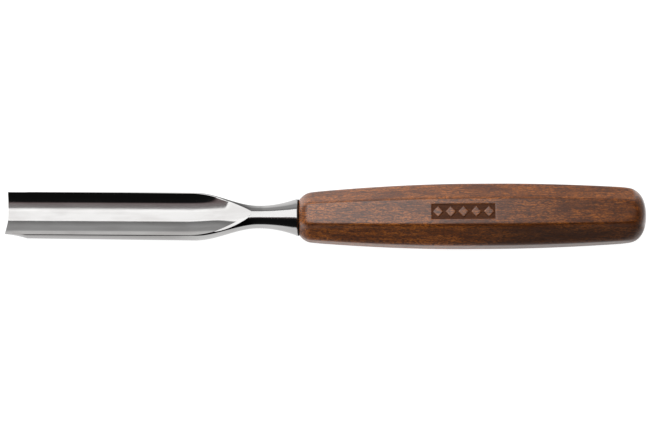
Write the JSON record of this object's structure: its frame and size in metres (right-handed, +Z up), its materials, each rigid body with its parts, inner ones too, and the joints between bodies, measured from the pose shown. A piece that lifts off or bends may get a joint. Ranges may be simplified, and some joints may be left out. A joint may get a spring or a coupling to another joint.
{
  "type": "v parting tool",
  "caption": "Hand carving tool: polished channel blade on a round neck and bolster, tang fitted into an octagonal barrel handle of stained wood.",
  "frame": {"origin": "middle of the tool's length, on the plane of the handle's lowest facet, below the handle's axis", "axes": "+X along the handle's axis towards the butt, with the cutting edge at -X; +Z up out of the blade's channel; +Y to the left of the tool seen from the butt with the channel up"},
  "size_m": [0.264, 0.026, 0.026],
  "materials": {
    "polished_steel": "polished",
    "plain_steel": "satin",
    "washer": "matte",
    "stained_wood": "satin varnish"
  },
  "bodies": {
    "root": {"blade": "polished_steel", "bolster_washer": "washer", "inner_ferrule": "plain_steel", "handle": "stained_wood"}
  },
  "joints": []
}
